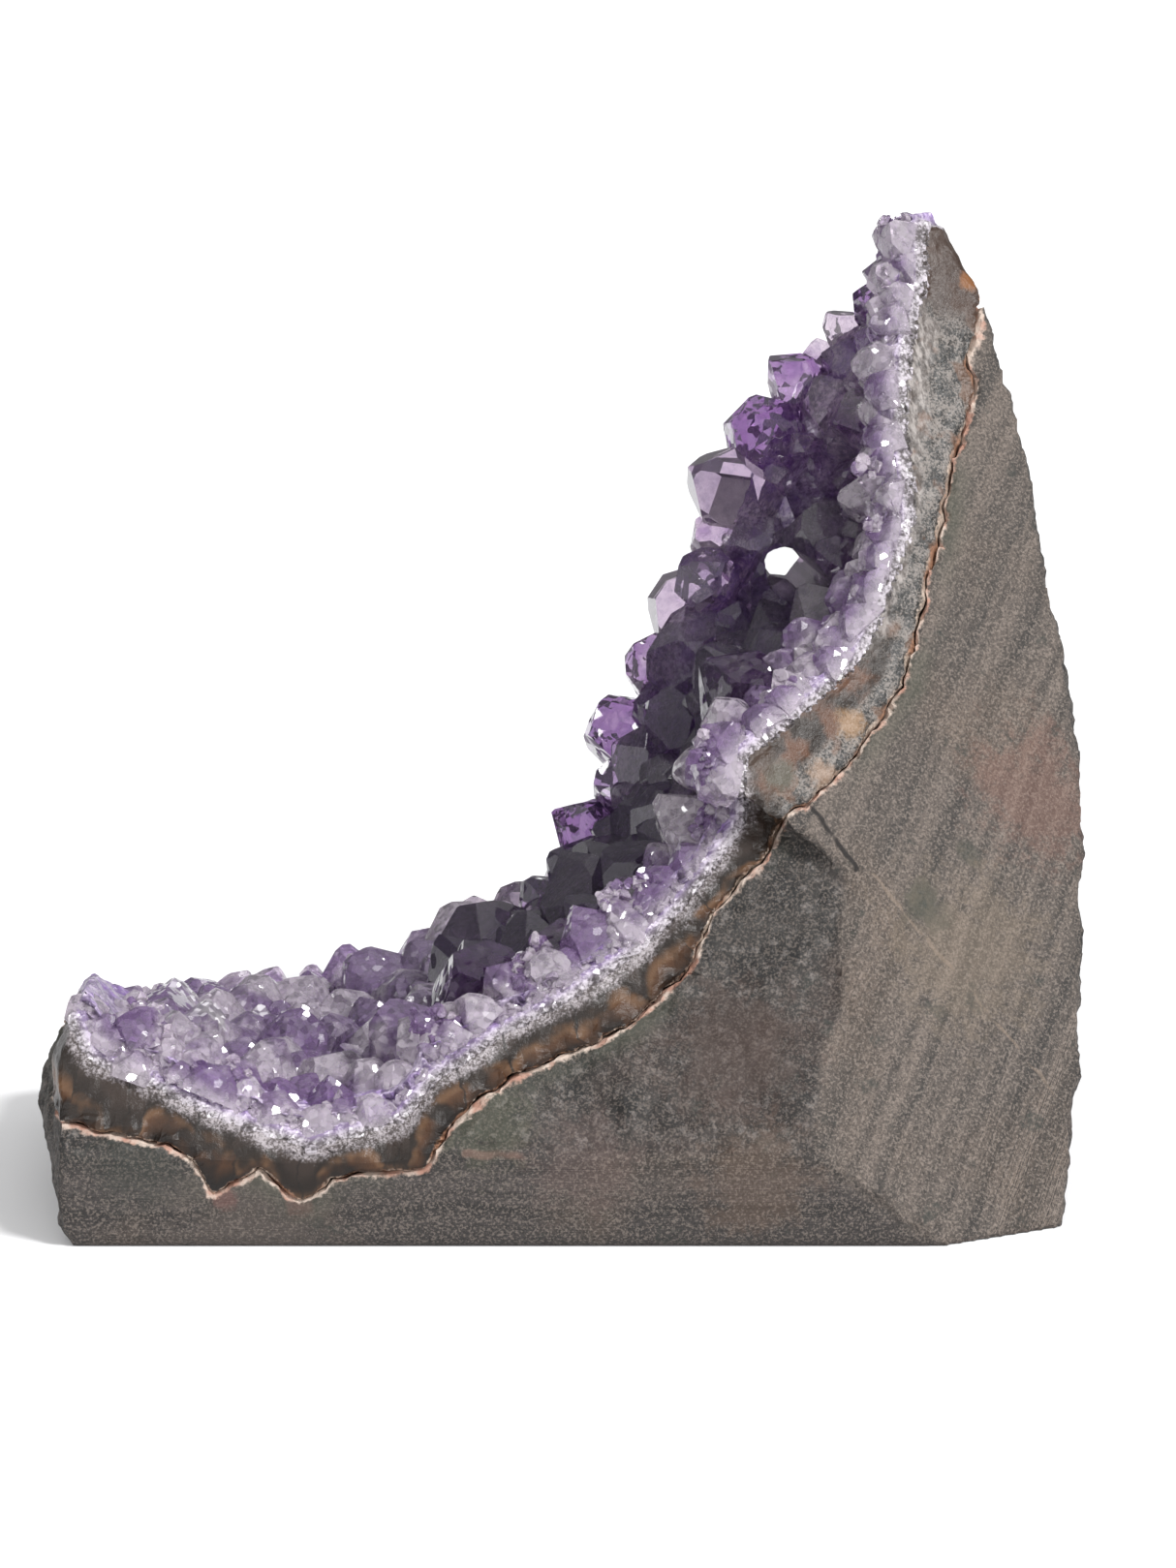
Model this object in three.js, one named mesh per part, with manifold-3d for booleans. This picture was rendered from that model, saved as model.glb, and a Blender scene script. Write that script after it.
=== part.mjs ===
// Amethyst cluster: a wedge of geode wall on a sawn base.
// Basalt host rock, an agate lining on it, and one crust of amethyst crystals on the agate.
// Millimetres, +Z up, +X towards the tall wall, -Y towards the sawn front.
import * as THREE from "three";
import { ImprovedNoise } from "three/addons/math/ImprovedNoise.js";
import { mergeVertices } from "three/addons/utils/BufferGeometryUtils.js";
import Module from "manifold-3d";

const wasm = await Module();
wasm.setup();

// Driving dimensions
const LENGTH = 160; // left tip to right side
const DEPTH = 95; // sawn front to sawn back
const HEIGHT = 145; // base to the top of the wall
const AXIS_X = -45; // the hollow is turned about a level axis along Y, at this place
const AXIS_Z = 128;
const GAP = 0.3; // clearance between neighbouring solids
const BED = 5; // crust thickness under the crystals
const RIM_WIDTH = 12; // along the front rim the bed thins and the crystals are small and lean outwards

const HALF_LENGTH = LENGTH / 2;
const BACK_Y = DEPTH / 2;
const STOCK = 12; // spare material round the block before it is cut
const MARGIN = 16; // each cutter passes the block by this much on every side
const REACH = 60; // and goes this far out from it

// Saw cuts on the front, as y = at + perX * x + perZ * z
const FRONT_CUT = { at: -45.9, perX: 0, perZ: -0.1 }; // low band, leaning a little outwards
const SIDE_CUT = { at: -73.8, perX: 0.5, perZ: 0.555 }; // the large face up to the peak
const BROKEN_FACE = { at: -56.3, perX: 0, perZ: 0.62 }; // unsawn face between the two
const LIP = { x: 31, z: 60, slope: -0.73, width: 2 }; // the broken face ends upwards at this line
const BROKEN_DISH = { x: 16, z: 34, halfWidth: 26, halfHeight: 14, depth: 1.5 };
const BROKEN_LUMPS = { size: 13, depth: 1.8, layer: 0.4 };

// Unsawn sides, each as straight lines of distance against height or depth, the nearest of them counting
const RIGHT_BY_HEIGHT = [
  { at: 75.2, per: 0.3, from: 0 },
  { at: 77.4, per: 0.09, from: 20 },
  { at: 80, per: -0.13, from: 60 },
  { at: 72.2, per: -0.58, from: 122 },
];
const RIGHT_BY_DEPTH = [{ at: 80, per: -0.45, from: 8 }];
const RIGHT_LUMPS = { size: 14, depth: 1.5, layer: 5.5 };
const LEFT_BY_HEIGHT = [
  { at: 73.5, per: 0.65, from: 0 },
  { at: 79.5, per: -0.5, from: 20 },
  { at: 69, per: -1.6, from: 38.6 },
];
const LEFT_BY_DEPTH = [{ at: 74, per: 0.25, from: -46 }];
const LEFT_LUMPS = { size: 11, depth: 1.1, layer: 8.1 };
const LEFT_TOP = 60;
const BACK_CORNERS = [{ at: 0, per: 0.9, from: -52 }, { at: 0, per: -0.75, from: 62 }];
const BACK_LUMPS = { size: 9, depth: 0.6, layer: 2.2 };
const BACK_HOLLOWS = { size: 34, above: 0.12, depth: 11, layer: 9.2 }; // where the saw missed the rock
const SUMMIT = { x: 57, y: 38, below: 1.5, perX: 0.25, perY: 0.15 }; // the stone's own highest place
const SUMMIT_LUMPS = { size: 5, depth: 1.2, layer: 6.1 };


// Outlines round the hollow's axis, as [angle in degrees from +X, radius]. -90 is straight down.
const ROCK_EDGE_FRONT = [
  [-120, 114], [-108, 113.5], [-98, 112.5], [-95, 114], [-93, 119.5], [-90, 115.5], [-87, 120.5],
  [-84, 117], [-78, 118], [-76, 113], [-71, 109.5], [-61, 110], [-55, 109], [-51, 105], [-45, 104],
  [-41, 103], [-36, 106], [-28, 108], [-21, 106], [-11, 105.5], [-5, 108], [-3, 107], [0, 110.5], [20, 110],
];
const AGATE_EDGE_FRONT = [
  [-120, 92], [-108, 96.5], [-104, 104], [-99, 105.5], [-93, 109], [-86, 113], [-79, 111], [-76, 106.5],
  [-70, 103.5], [-55, 102], [-49, 100], [-44, 98.5], [-40, 92.5], [-34, 96], [-28, 100.5], [-16, 101.5],
  [-8, 97.5], [-2, 98], [4, 101], [20, 105],
];
const AGATE_EDGE_BACK = [
  [-120, 112], [-108, 116.5], [-94, 116.5], [-86, 115.5], [-78, 113], [-64, 111], [-57, 103], [-48, 91],
  [-40, 83.5], [-24, 81.5], [-13, 84.5], [-5, 91.5], [2, 101], [9, 108], [20, 110],
];
const HOLLOW_SAG = [[-110, 1], [-90, 1.5], [-60, 5], [-30, 8], [-10, 6], [10, 2]]; // extra depth midway
const AGATE_THICKNESS_BACK = [[-110, 5], [-80, 5.5], [-50, 7.5], [10, 6]];
const AGATE_UNEVEN = 1.2;
const RIM_FRONT_Y = [
  [-108, -47], [-78, -46.5], [-71, -42], [-61, -37.5], [-52, -30], [-44, -24], [-33, -12], [-21, 3],
  [-13, 12], [-3, 22], [9, 35],
];
const RIM_BACK_Y = [[-110, 24], [-95, 36], [-75, 47], [20, 47]];

const HOLLOW_START = -115;
const HOLLOW_END = 19;
const HOLLOW_ROWS = [-3, -0.1, 0.12, 0.35, 0.65, 1, 3]; // shares of the way from front rim to back rim
const BED_STEP = 7; // degrees

const CRYSTAL_SEED = 21;
const CRYSTAL_ANGLES = [-103, 12];
const CRYSTAL_SHARES = [-0.06, 1.03];
const CRYSTAL_TRIES = 3000;
const WIDEST = 13.5;
const NARROWEST = 9.8;
const RIM_CRYSTAL = 9;
const CRYSTAL_SPACING = 0.97; // distance between neighbours, over their mean width
const FACE_SLOPE = THREE.MathUtils.degToRad(38.2); // quartz end faces to the crystal's axis
const LARGEST_TILT = THREE.MathUtils.degToRad(24);
const ROOT = 3; // length of a crystal inside the bed

const noise = new ImprovedNoise();

// The radius of an outline at an angle, straight between its points
function along(outline, angle) {
  const next = outline.findIndex(([a]) => a > angle);
  if (next === 0) return outline[0][1];
  if (next < 0) return outline[outline.length - 1][1];
  const [a0, v0] = outline[next - 1];
  const [a1, v1] = outline[next];
  return THREE.MathUtils.lerp(v0, v1, (angle - a0) / (a1 - a0));
}

// Every angle that an outline turns at
function outlineAngles(...outlines) {
  const all = outlines.flat().map(([angle]) => angle);
  const inside = all.filter((angle) => angle > HOLLOW_START && angle < HOLLOW_END);
  return [...new Set([HOLLOW_START, ...inside, HOLLOW_END])].sort((a, b) => a - b);
}

// Evenly spaced values from one number to another
function steps(from, to, count) {
  return Array.from({ length: count + 1 }, (_, i) => from + ((to - from) * i) / count);
}

// A height field as a closed slab: place(u, v, h) gives its points, and its far side has h = null.
function slab(us, vs, height, place) {
  const positions = [];
  const index = [];
  const at = (i, j, far) => (far * us.length + i) * vs.length + j;
  for (const far of [0, 1])
    for (const u of us) for (const v of vs) positions.push(...place(u, v, far ? null : height(u, v)));
  const quad = (a, b, c, d) => index.push(a, b, c, a, c, d);
  const lastI = us.length - 1;
  const lastJ = vs.length - 1;
  for (let i = 0; i < lastI; i++)
    for (let j = 0; j < lastJ; j++) {
      quad(at(i, j, 0), at(i, j + 1, 0), at(i + 1, j + 1, 0), at(i + 1, j, 0));
      quad(at(i, j, 1), at(i + 1, j, 1), at(i + 1, j + 1, 1), at(i, j + 1, 1));
    }
  for (let i = 0; i < lastI; i++) {
    quad(at(i, 0, 0), at(i + 1, 0, 0), at(i + 1, 0, 1), at(i, 0, 1));
    quad(at(i, lastJ, 0), at(i, lastJ, 1), at(i + 1, lastJ, 1), at(i + 1, lastJ, 0));
  }
  for (let j = 0; j < lastJ; j++) {
    quad(at(0, j, 0), at(0, j, 1), at(0, j + 1, 1), at(0, j + 1, 0));
    quad(at(lastI, j, 0), at(lastI, j + 1, 0), at(lastI, j + 1, 1), at(lastI, j, 1));
  }
  return solid(positions, index);
}

function solid(positions, index) {
  const made = new wasm.Manifold(
    new wasm.Mesh({
      numProp: 3,
      vertProperties: new Float32Array(positions),
      triVerts: new Uint32Array(index),
    }),
  );
  if (made.volume() > 0) return made;
  const turned = [];
  for (let i = 0; i < index.length; i += 3) turned.push(index[i], index[i + 2], index[i + 1]);
  return solid(positions, turned);
}

function solidOf(geometry) {
  geometry.deleteAttribute("normal");
  geometry.deleteAttribute("uv");
  const merged = mergeVertices(geometry, 1e-4);
  return solid(merged.attributes.position.array, merged.index.array);
}

function meshOf(name, made, material) {
  const { vertProperties, numProp, numVert, triVerts } = made.getMesh();
  const positions = new Float32Array(numVert * 3);
  for (let i = 0; i < numVert; i++)
    positions.set(vertProperties.subarray(i * numProp, i * numProp + 3), i * 3);
  const geometry = new THREE.BufferGeometry();
  geometry.setAttribute("position", new THREE.BufferAttribute(positions, 3));
  geometry.setIndex(new THREE.BufferAttribute(new Uint32Array(triVerts), 1));
  geometry.computeVertexNormals();
  const mesh = new THREE.Mesh(geometry, material);
  mesh.name = name;
  return mesh;
}

function largest(made) {
  return made.decompose().sort((a, b) => b.volume() - a.volume())[0];
}

// The hollow's surfaces, as radii about its axis. A share runs from 0 at the front rim to 1 at the back rim.
function agateFace(angle, share) {
  const s = THREE.MathUtils.clamp(share, 0, 1);
  const front = along(AGATE_EDGE_FRONT, angle);
  const back = along(AGATE_EDGE_BACK, angle);
  return front + (back - front) * s * s + along(HOLLOW_SAG, angle) * 4 * s * (1 - s);
}

function rockFace(angle, share) {
  const front = along(ROCK_EDGE_FRONT, angle) - along(AGATE_EDGE_FRONT, angle);
  const nearFront = 1 - THREE.MathUtils.smoothstep(share, 0.1, 0.45);
  const thickness = THREE.MathUtils.lerp(along(AGATE_THICKNESS_BACK, angle), front, nearFront);
  const uneven = AGATE_UNEVEN * noise.noise(angle / 7, share * 5, 3.1) * (1 - nearFront);
  return agateFace(angle, share) + thickness + uneven;
}

function placeInHollow(angle, share, radius) {
  const front = along(RIM_FRONT_Y, angle);
  const y = THREE.MathUtils.lerp(front, along(RIM_BACK_Y, angle), share);
  const turn = THREE.MathUtils.degToRad(angle);
  return new THREE.Vector3(AXIS_X + radius * Math.cos(turn), y, AXIS_Z + radius * Math.sin(turn));
}

// 1 on the front rim, falling to 0 at RIM_WIDTH behind it
function nearRim(angle, share) {
  const behind = share * (along(RIM_BACK_Y, angle) - along(RIM_FRONT_Y, angle));
  return 1 - THREE.MathUtils.smoothstep(behind, 0, RIM_WIDTH);
}

function bedFace(angle, share) {
  return agateFace(angle, share) - BED * (1 - 0.6 * nearRim(angle, share));
}

// Everything nearer the axis than radius(angle, share), as a closed sector
function hollow(radius, angles) {
  const rows = HOLLOW_ROWS.length;
  const positions = [AXIS_X, -3 * DEPTH, AXIS_Z, AXIS_X, 3 * DEPTH, AXIS_Z];
  for (const angle of angles)
    for (const share of HOLLOW_ROWS)
      positions.push(...placeInHollow(angle, share, radius(angle, share)));
  const at = (i, j) => 2 + i * rows + j;
  const last = angles.length - 1;
  const index = [];
  for (let i = 0; i < last; i++) {
    for (let j = 0; j < rows - 1; j++) {
      index.push(at(i, j), at(i + 1, j), at(i + 1, j + 1));
      index.push(at(i, j), at(i + 1, j + 1), at(i, j + 1));
    }
    index.push(0, at(i + 1, 0), at(i, 0));
    index.push(1, at(i, rows - 1), at(i + 1, rows - 1));
  }
  for (let j = 0; j < rows - 1; j++) {
    index.push(0, at(0, j), at(0, j + 1));
    index.push(0, at(last, j + 1), at(last, j));
  }
  index.push(0, at(0, rows - 1), 1);
  index.push(0, 1, at(last, rows - 1));
  return solid(positions, index);
}

// The outside of the block, one cutter for each side
const planeY = ({ at, perX, perZ }) => (x, z) => at + perX * x + perZ * z;
const nearest = (lines, value) => Math.min(...lines.map(({ at, per, from }) => at + per * (value - from)));
const overLength = (count) => steps(-HALF_LENGTH - MARGIN, HALF_LENGTH + MARGIN, count);
const overDepth = (count) => steps(-BACK_Y - MARGIN, BACK_Y + MARGIN, count);
const overHeight = (count) => steps(-MARGIN, HEIGHT + MARGIN, count);
const fromFront = (x, z, y) => [x, y ?? -BACK_Y - REACH, z];

// Lumps of one size with smaller ones on them
function lumps(u, v, { size, depth, layer }) {
  const small = noise.noise((2.5 * u) / size, (2.5 * v) / size, layer + 4);
  return depth * (noise.noise(u / size, v / size, layer) + 0.5 * small);
}

function sawCutter(plane) {
  return slab(overLength(1), overHeight(1), planeY(plane), fromFront);
}

// The broken face is a height field on rows that run along its lip, with nothing cut above the lip.
function brokenFaceCutter() {
  const zOf = (x, row) => row + LIP.z + LIP.slope * (x - LIP.x);
  const { depth, halfWidth, halfHeight } = BROKEN_DISH;
  const height = (x, row) => {
    if (row > 0) return -BACK_Y - REACH / 2;
    const z = zOf(x, row);
    const away = ((x - BROKEN_DISH.x) / halfWidth) ** 2 + ((z - BROKEN_DISH.z) / halfHeight) ** 2;
    return planeY(BROKEN_FACE)(x, z) + depth * Math.exp(-away) + lumps(x, z, BROKEN_LUMPS);
  };
  const rows = [-1.5 * HALF_LENGTH, ...steps(-HALF_LENGTH, 0, 16), LIP.width, HALF_LENGTH];
  const columns = [-HALF_LENGTH - MARGIN, ...steps(-30, 60, 18), HALF_LENGTH + MARGIN];
  return slab(columns, rows, height, (x, row, y) => fromFront(x, zOf(x, row), y));
}

function backCutter() {
  const { size, above, depth, layer } = BACK_HOLLOWS;
  const height = (x, z) => {
    const hollows = depth * Math.max(0, noise.noise(x / size, z / size, layer) - above);
    const corner = Math.min(0, nearest(BACK_CORNERS, x));
    const unsawn = hollows > 0 || corner < 0;
    return Math.min(BACK_Y, BACK_Y + corner - hollows - (unsawn ? lumps(x, z, BACK_LUMPS) + 0.6 : 0));
  };
  return slab(overLength(16), overHeight(14), height, (x, z, y) => [x, y ?? BACK_Y + REACH, z]);
}

function rightCutter() {
  const height = (y, z) => {
    const out = Math.min(nearest(RIGHT_BY_HEIGHT, z), nearest(RIGHT_BY_DEPTH, y));
    return Math.min(HALF_LENGTH, out + lumps(y, z, RIGHT_LUMPS));
  };
  return slab(overDepth(12), overHeight(18), height, (y, z, x) => [x ?? HALF_LENGTH + REACH, y, z]);
}

function leftCutter() {
  const height = (y, z) => {
    const out = Math.min(nearest(LEFT_BY_HEIGHT, Math.min(z, LEFT_TOP)), nearest(LEFT_BY_DEPTH, y));
    return -Math.min(HALF_LENGTH, out - 0.4 + lumps(y, z, LEFT_LUMPS));
  };
  const rows = [...steps(-MARGIN / 2, LEFT_TOP, 12), HEIGHT + MARGIN];
  return slab(overDepth(12), rows, height, (y, z, x) => [x ?? -HALF_LENGTH - REACH, y, z]);
}

// The summit falls away on all sides.
function topCutter() {
  const height = (x, y) => {
    const fall = SUMMIT.perX * Math.abs(x - SUMMIT.x) + SUMMIT.perY * Math.abs(y - SUMMIT.y);
    return HEIGHT - SUMMIT.below - fall + lumps(x, y, SUMMIT_LUMPS);
  };
  const alongX = [-HALF_LENGTH - MARGIN, ...steps(40, 72, 8), HALF_LENGTH + MARGIN];
  const alongY = [-BACK_Y - MARGIN, ...steps(24, 48, 6), BACK_Y + MARGIN];
  return slab(alongX, alongY, height, (x, y, z) => [x, y, z ?? HEIGHT + REACH]);
}

function block() {
  const stock = new THREE.BoxGeometry(LENGTH + STOCK, DEPTH + STOCK, HEIGHT);
  stock.translate(0, 0, HEIGHT / 2);
  return solidOf(stock)
    .subtract(sawCutter(FRONT_CUT))
    .subtract(sawCutter(SIDE_CUT))
    .subtract(brokenFaceCutter())
    .subtract(backCutter())
    .subtract(rightCutter())
    .subtract(leftCutter());
}

// Crystals
function randomNumbers(seed) {
  let state = seed;
  return () => {
    state = (state * 1664525 + 1013904223) % 4294967296;
    return state / 4294967296;
  };
}

function inward(angle, share) {
  const d = 0.02;
  const point = (a, s) => placeInHollow(a, s, agateFace(a, s));
  const alongAngle = point(angle + 50 * d, share).sub(point(angle - 50 * d, share));
  const alongShare = point(angle, share + d).sub(point(angle, share - d));
  return alongAngle.cross(alongShare).normalize();
}

function growCrystals() {
  const random = randomNumbers(CRYSTAL_SEED);
  const crystals = [];
  for (let i = 0; i < CRYSTAL_TRIES; i++) {
    const angle = THREE.MathUtils.lerp(...CRYSTAL_ANGLES, random());
    const share = THREE.MathUtils.lerp(...CRYSTAL_SHARES, random());
    const fill = i / CRYSTAL_TRIES;
    const widthInside = THREE.MathUtils.lerp(WIDEST, NARROWEST, Math.sqrt(fill)) * (0.9 + 0.2 * random());
    const onRim = nearRim(angle, share);
    const width = THREE.MathUtils.lerp(widthInside, Math.min(widthInside, RIM_CRYSTAL), onRim);
    const foot = placeInHollow(angle, share, bedFace(angle, share) + 1);
    const clear = crystals.every(
      (c) => c.foot.distanceTo(foot) > (CRYSTAL_SPACING * (c.width + width)) / 2,
    );
    if (!clear) continue;
    const tilt = LARGEST_TILT * Math.sqrt(random());
    const tiltTowards = 2 * Math.PI * random();
    const axis = inward(angle, share);
    const across = new THREE.Vector3(0, 1, 0).cross(axis).normalize();
    const lean = across.applyAxisAngle(axis, tiltTowards).multiplyScalar(Math.tan(tilt));
    axis.add(lean).normalize();
    axis.y -= 0.7 * onRim;
    axis.normalize();
    const turn = random() * Math.PI;
    const shank = width * (0.05 + 0.25 * random());
    crystals.push({ foot, axis, width, turn, shank, uneven: 0.25 + 0.6 * random() });
  }
  return crystals;
}

// One quartz crystal: a six-sided prism ended by three large and three small faces
function crystalSolid({ foot, axis, width, turn, shank, uneven }) {
  const apothem = width / 2;
  const peak = apothem / Math.tan(FACE_SLOPE);
  const tall = ROOT + shank + peak;
  const prism = new THREE.CylinderGeometry(width / Math.sqrt(3), width / Math.sqrt(3), tall, 6);
  prism.translate(0, tall / 2 - ROOT, 0);
  const end = (height) => {
    const cone = new THREE.ConeGeometry(2 * height * Math.tan(FACE_SLOPE), height, 3);
    cone.translate(0, height / 2 - ROOT - 1, 0);
    return cone;
  };
  const large = end(tall + 1).rotateY(Math.PI / 6);
  const small = end(tall + 1 + peak * uneven).rotateY(-Math.PI / 6);
  const place = new THREE.Matrix4().makeRotationFromQuaternion(
    new THREE.Quaternion().setFromUnitVectors(new THREE.Vector3(0, 1, 0), axis),
  );
  place.multiply(new THREE.Matrix4().makeRotationY(turn)).setPosition(foot);
  const parts = [prism, large, small].map((g) => solidOf(g.applyMatrix4(place)));
  return parts[0].intersect(parts[1]).intersect(parts[2]);
}

const rockMaterial = new THREE.MeshStandardMaterial({ color: 0x756a62, roughness: 0.9, metalness: 0 });
const agateMaterial = new THREE.MeshStandardMaterial({ color: 0x564a42, roughness: 0.35, metalness: 0 });
const amethystMaterial = new THREE.MeshStandardMaterial({ color: 0x8a6fb0, roughness: 0.1, metalness: 0 });

const envelope = block();
const stone = envelope.subtract(topCutter());
const agateAngles = outlineAngles(AGATE_EDGE_FRONT, AGATE_EDGE_BACK);
const rockAngles = outlineAngles(ROCK_EDGE_FRONT, AGATE_EDGE_FRONT);
const bedAngles = steps(HOLLOW_START, HOLLOW_END, Math.round((HOLLOW_END - HOLLOW_START) / BED_STEP));

const rock = stone.subtract(hollow((a, s) => rockFace(a, s) + GAP / 2, rockAngles));
const lining = stone
  .intersect(hollow((a, s) => rockFace(a, s) - GAP / 2, rockAngles))
  .subtract(hollow((a, s) => agateFace(a, s) + GAP / 2, agateAngles));
const bed = stone
  .intersect(hollow((a, s) => agateFace(a, s) - GAP / 2, agateAngles))
  .subtract(hollow(bedFace, bedAngles));
const room = envelope.intersect(hollow((a, s) => agateFace(a, s) - GAP, agateAngles));
const grown = growCrystals().map(crystalSolid);
const crust = grown.reduce((all, one) => all.add(one.intersect(room)), bed);

const cluster = new THREE.Group();
cluster.add(meshOf("basalt_matrix", largest(rock), rockMaterial));
cluster.add(meshOf("agate_lining", largest(lining), agateMaterial));
cluster.add(meshOf("amethyst_crust", largest(crust), amethystMaterial));

export default cluster;
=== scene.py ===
# Amethyst cluster: basalt, agate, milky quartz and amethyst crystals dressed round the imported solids.
# Metres, +Z up, +X towards the tall wall, -Y towards the sawn front.
import math
import random

import bmesh
import bpy
import numpy as np
from mathutils import Matrix, Vector, noise
from mathutils.bvhtree import BVHTree
from mathutils.kdtree import KDTree


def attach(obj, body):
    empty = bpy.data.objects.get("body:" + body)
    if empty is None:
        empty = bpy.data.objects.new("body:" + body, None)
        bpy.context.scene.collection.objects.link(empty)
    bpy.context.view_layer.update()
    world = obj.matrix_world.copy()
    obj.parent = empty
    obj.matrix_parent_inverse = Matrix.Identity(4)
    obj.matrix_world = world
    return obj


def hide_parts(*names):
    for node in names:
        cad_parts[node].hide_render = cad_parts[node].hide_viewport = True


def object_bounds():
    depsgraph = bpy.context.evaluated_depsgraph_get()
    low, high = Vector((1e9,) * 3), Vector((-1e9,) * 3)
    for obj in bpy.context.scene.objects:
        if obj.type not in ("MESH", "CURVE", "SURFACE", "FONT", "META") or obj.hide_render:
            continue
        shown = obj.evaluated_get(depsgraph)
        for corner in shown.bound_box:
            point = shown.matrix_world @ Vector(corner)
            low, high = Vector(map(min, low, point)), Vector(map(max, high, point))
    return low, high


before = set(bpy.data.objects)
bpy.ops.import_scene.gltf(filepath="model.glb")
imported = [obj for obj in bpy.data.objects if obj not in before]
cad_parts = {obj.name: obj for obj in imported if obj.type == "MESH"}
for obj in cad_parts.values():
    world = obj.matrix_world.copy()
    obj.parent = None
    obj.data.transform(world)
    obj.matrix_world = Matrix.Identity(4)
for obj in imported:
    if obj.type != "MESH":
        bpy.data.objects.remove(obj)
cad_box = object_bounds()

MM = 0.001
SEED = 7
rng = random.Random(SEED)
noise.seed_set(SEED)  # without it noise_vector starts from the clock

# Photograph's camera
LENS = 100
SENSOR = 36
DISTANCE = 0.675
ELEVATION = 12
TARGET = Vector((0.0036, 0, 0.060))

# The hollow's level axis, as in the solids
HOLLOW_X = -45 * MM
HOLLOW_Z = 128 * MM

# Voxels of the stone pieces
BASALT_VOXEL = 1.05 * MM
AGATE_VOXEL = 0.8 * MM
BED_VOXEL = 0.85 * MM

# Quartz
LEFT_END_TURN = -103  # no crystals beyond this angle round the hollow
RIM_ZONE = 19.0  # mm behind the front rim with chipped crystals
LEFT_FLOOR = -74  # below this angle round the hollow the floor's crystals are worn too
BED = 4.2 * MM
END_FACE = math.radians(38.2)  # quartz end faces to the crystal's axis
TEMPLATES = 14
PLACES = 15000  # places tried for the hollow's crystals
FILLERS = 0.72  # from this share of them on, only small crystals between the others
RIM_PLACES = 3000  # places tried for the cut rim's crystals
SHARDS = 520
CELL = 12 * MM  # a crystal's neighbours are looked for in cells of this size
WALL = -45  # above this angle round the hollow the rim is steep
RIM_WIDEST = 7.4 * MM  # and its crystals are no wider than this
BRIGHT_TIP = Vector((31.5, 18.0, 93.5)) * MM
BRIGHT_AWAY = Vector((-0.7, -0.25, 0.67))
BRIGHT_FACING = Vector((-0.298, -0.767, 0.568)).normalized()  # halfway between the left light and the camera
BRIGHT_WIDTH = 7.0 * MM
RIM_SLACK = 0.7 * MM  # crystals may pass the front cuts by this
BACK_INSET = 0.3 * MM  # and end this far inside the back

# Unevenness of the surfaces, as waves of height in mm, size in mm and layer of noise
TORN_RELIEF = ((0.8, 7, 1), (0.4, 2.8, 2), (0.35, 1.5, 3))
SAWN_RELIEF = ((0.1, 9, 4), (0.06, 2.2, 5))
AGATE_RELIEF = ((0.3, 4, 11), (0.18, 1.9, 12))
BED_RELIEF = ((0.9, 6, 21), (0.4, 2.5, 22))
BED_GRAINS = ((0.16, 1.1, 23), (0.2, 2.4, 24))

# Each light's name, height and turn to the right in degrees, width in degrees and strength
LIGHTS = (("key", 47, 52, 13, 3.0), ("front", 22, -12, 15, 0.4), ("left", 55, -55, 10, 0.5))


# Small tools
def deselect():
    for obj in list(bpy.context.selected_objects):
        obj.select_set(False)


def activate(obj):
    deselect()
    obj.select_set(True)
    bpy.context.view_layer.objects.active = obj


def finish_modifier(obj, kind, **settings):
    activate(obj)
    modifier = obj.modifiers.new(kind.lower(), kind)
    for name, value in settings.items():
        setattr(modifier, name, value)
    bpy.ops.object.modifier_apply(modifier=modifier.name)


def remeshed(piece, voxel):
    """Remeshes a piece in small even faces. Returns its mesh, points and normals."""
    finish_modifier(piece, "REMESH", mode="VOXEL", voxel_size=voxel)
    return piece.data, points_of(piece.data), normals_of(piece.data)


def copy_of_node(node, name):
    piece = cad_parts[node].copy()
    piece.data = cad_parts[node].data.copy()
    piece.name = piece.data.name = name
    for key in list(piece.keys()):
        del piece[key]
    piece.parent = None
    bpy.context.scene.collection.objects.link(piece)
    activate(piece)
    bpy.ops.object.mode_set(mode="EDIT")
    bpy.ops.mesh.select_all(action="SELECT")
    bpy.ops.mesh.remove_doubles(threshold=0.001 * MM)
    bpy.ops.object.mode_set(mode="OBJECT")
    piece.data.materials.clear()
    return piece


def points_of(mesh):
    flat = np.zeros(len(mesh.vertices) * 3)
    mesh.vertices.foreach_get("co", flat)
    return flat.reshape(-1, 3)


def normals_of(mesh):
    flat = np.zeros(len(mesh.vertices) * 3)
    mesh.vertex_normals.foreach_get("vector", flat)
    return flat.reshape(-1, 3)


def move_points(mesh, points):
    mesh.vertices.foreach_set("co", np.asarray(points).ravel())
    mesh.update()


def store(mesh, name, values):
    attribute = mesh.attributes.new(name, "FLOAT", "POINT")
    attribute.data.foreach_set("value", np.asarray(values, np.float32))


def smoothstep(value, low, high):
    t = np.clip((value - low) / (high - low), 0, 1)
    return t * t * (3 - 2 * t)


def noise_at(points, size, layer=0.0):
    shift = Vector((layer * 3.1, layer * 7.7, layer * 1.3))
    return np.array([noise.noise(Vector(p) / size + shift) for p in points])


def relief(points, waves):
    """Unevenness in mm: the sum of waves, each as height in mm, size in mm and layer of noise."""
    return sum(height * noise_at(points, size * MM, layer) for height, size, layer in waves)


def corners_of(mesh):
    """The three corners of every triangle, as three arrays of points."""
    mesh.calc_loop_triangles()
    corners = points_of(mesh)[np.array([t.vertices[:] for t in mesh.loop_triangles])]
    return corners[:, 0], corners[:, 1], corners[:, 2]


def past(points, plane):
    """How far points lie outside a plane given by its normal and offset."""
    return points @ np.array(plane[0]) - plane[1]


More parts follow.
